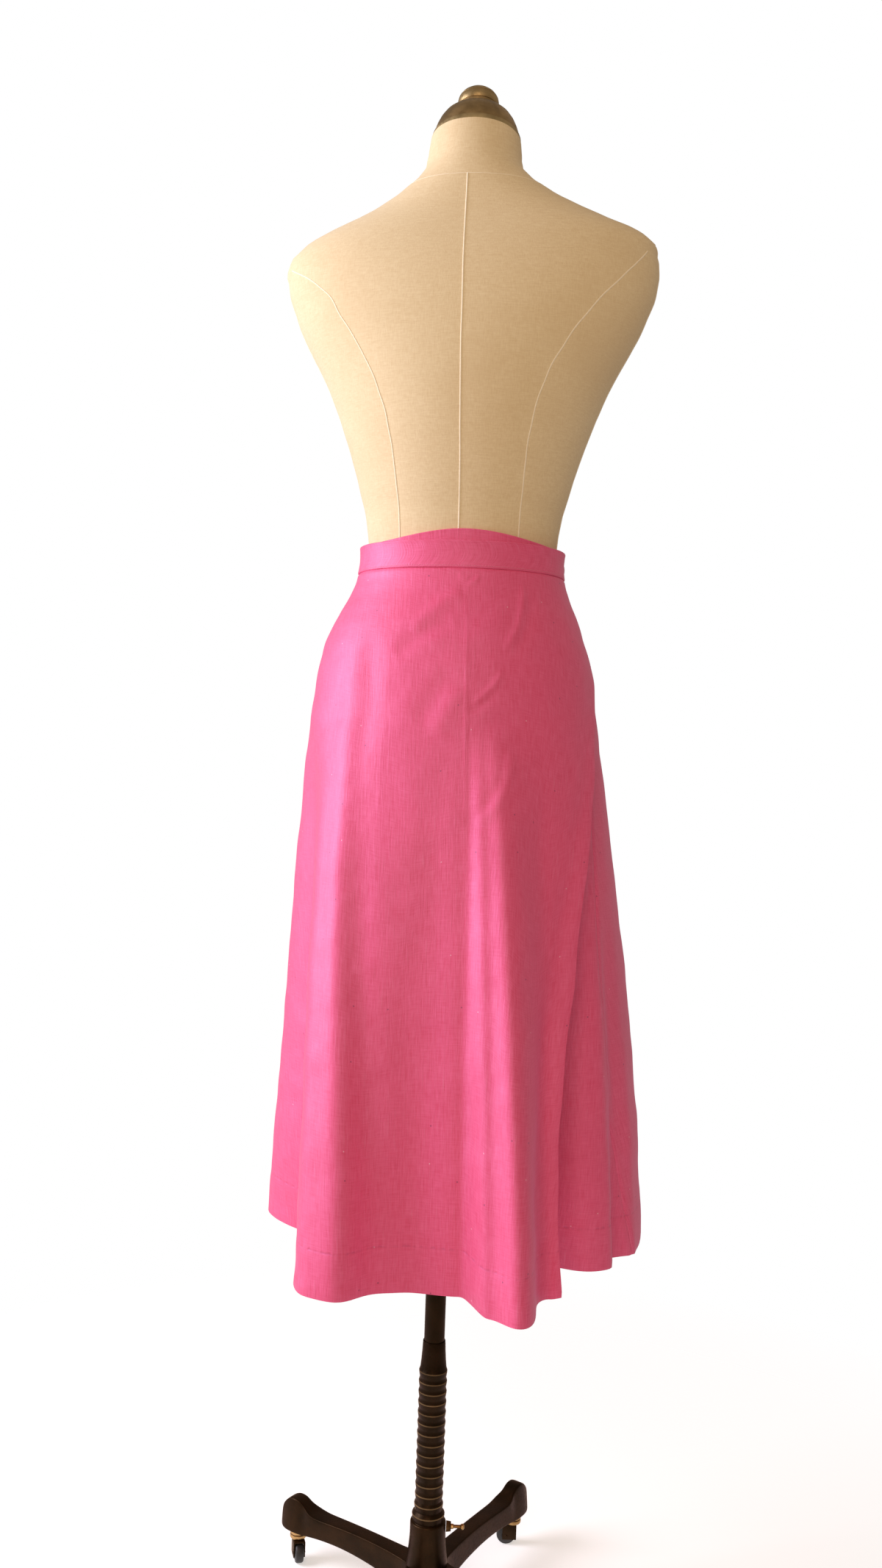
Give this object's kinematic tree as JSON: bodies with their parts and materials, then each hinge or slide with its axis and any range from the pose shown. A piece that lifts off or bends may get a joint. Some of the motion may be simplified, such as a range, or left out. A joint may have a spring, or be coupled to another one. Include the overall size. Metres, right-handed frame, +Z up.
{
  "type": "wrap skirt on dress form",
  "caption": "A-line midi wrap skirt with a straight waistband and a swinging front flap, worn on a limbless dress form with a sliding post and a rolling cast stand.",
  "frame": {"origin": "on the floor, under the middle of the bounding box", "axes": "+Z up along the post; -Y is the side that shows the wrap's overlap, the back of the dress form; +X is the form's side where the overlap's free edge hangs"},
  "size_m": [0.4227, 0.4773, 1.6949],
  "materials": {
    "linen": "matt plain weave with slubs",
    "button": "satin",
    "canvas": "matt fine plain weave",
    "bronze": "aged, brown patina",
    "iron": "dark bronze lacquer, worn at the edges",
    "brass": "worn satin",
    "wheel": "satin black"
  },
  "bodies": {
    "stand": {"hub": "iron", "sleeve": "iron", "clamp_boss": "iron", "leg_0": "iron", "leg_1": "iron", "leg_2": "iron", "leg_3": "iron", "caster_ring_0": "brass", "caster_ring_1": "brass", "caster_ring_2": "brass", "caster_ring_3": "brass"},
    "post": {"post": "iron", "post_flange": "iron"},
    "form": {"torso": "canvas", "neck_cap": "bronze", "front_panel": "linen", "under_flap": "linen", "over_flap": "linen", "waistband": "linen", "waistband_button": "button"},
    "clamp": {"clamp_screw": "brass"},
    "swivel_0": {"caster_fork_0": "iron"},
    "wheel_0": {"caster_wheel_0": "wheel"},
    "swivel_1": {"caster_fork_1": "iron"},
    "wheel_1": {"caster_wheel_1": "wheel"},
    "swivel_2": {"caster_fork_2": "iron"},
    "wheel_2": {"caster_wheel_2": "wheel"},
    "swivel_3": {"caster_fork_3": "iron"},
    "wheel_3": {"caster_wheel_3": "wheel"}
  },
  "joints": [
    {"name": "height_slide", "type": "slide", "parent": "stand", "child": "post", "axis": [0, 0, 1], "range_m": [-0.03, 0.16]},
    {"name": "form_turn", "type": "hinge", "parent": "post", "child": "form", "pos_m": [-0.0095, 0.0407, 0.945], "axis": [0, 0, 1], "continuous": true},
    {"name": "clamp_turn", "type": "hinge", "parent": "stand", "child": "clamp", "pos_m": [0.01072, 0.04247, 0.104], "axis": [0.9962, 0.0872, 0], "range_deg": [0, 360]},
    {"name": "caster_swivel_0", "type": "hinge", "parent": "stand", "child": "swivel_0", "pos_m": [0.07925, 0.20416, 0.0258], "axis": [0, 0, 1], "continuous": true},
    {"name": "wheel_roll_0", "type": "hinge", "parent": "swivel_0", "child": "wheel_0", "pos_m": [0.07129, 0.20339, 0.01136], "axis": [-0.0958, 0.9954, 0], "continuous": true},
    {"name": "caster_swivel_1", "type": "hinge", "parent": "stand", "child": "swivel_1", "pos_m": [-0.17296, 0.12945, 0.0258], "axis": [0, 0, 1], "continuous": true},
    {"name": "wheel_roll_1", "type": "hinge", "parent": "swivel_1", "child": "wheel_1", "pos_m": [-0.17022, 0.12193, 0.01136], "axis": [-0.9397, -0.342, 0], "continuous": true},
    {"name": "caster_swivel_2", "type": "hinge", "parent": "stand", "child": "swivel_2", "pos_m": [-0.09825, -0.12276, 0.0258], "axis": [0, 0, 1], "continuous": true},
    {"name": "wheel_roll_2", "type": "hinge", "parent": "swivel_2", "child": "wheel_2", "pos_m": [-0.09212, -0.11762, 0.01136], "axis": [0.6428, -0.766, 0], "continuous": true},
    {"name": "caster_swivel_3", "type": "hinge", "parent": "stand", "child": "swivel_3", "pos_m": [0.15396, -0.04805, 0.0258], "axis": [0, 0, 1], "continuous": true},
    {"name": "wheel_roll_3", "type": "hinge", "parent": "swivel_3", "child": "wheel_3", "pos_m": [0.14671, -0.05143, 0.01136], "axis": [-0.4226, 0.9063, 0], "continuous": true}
  ]
}
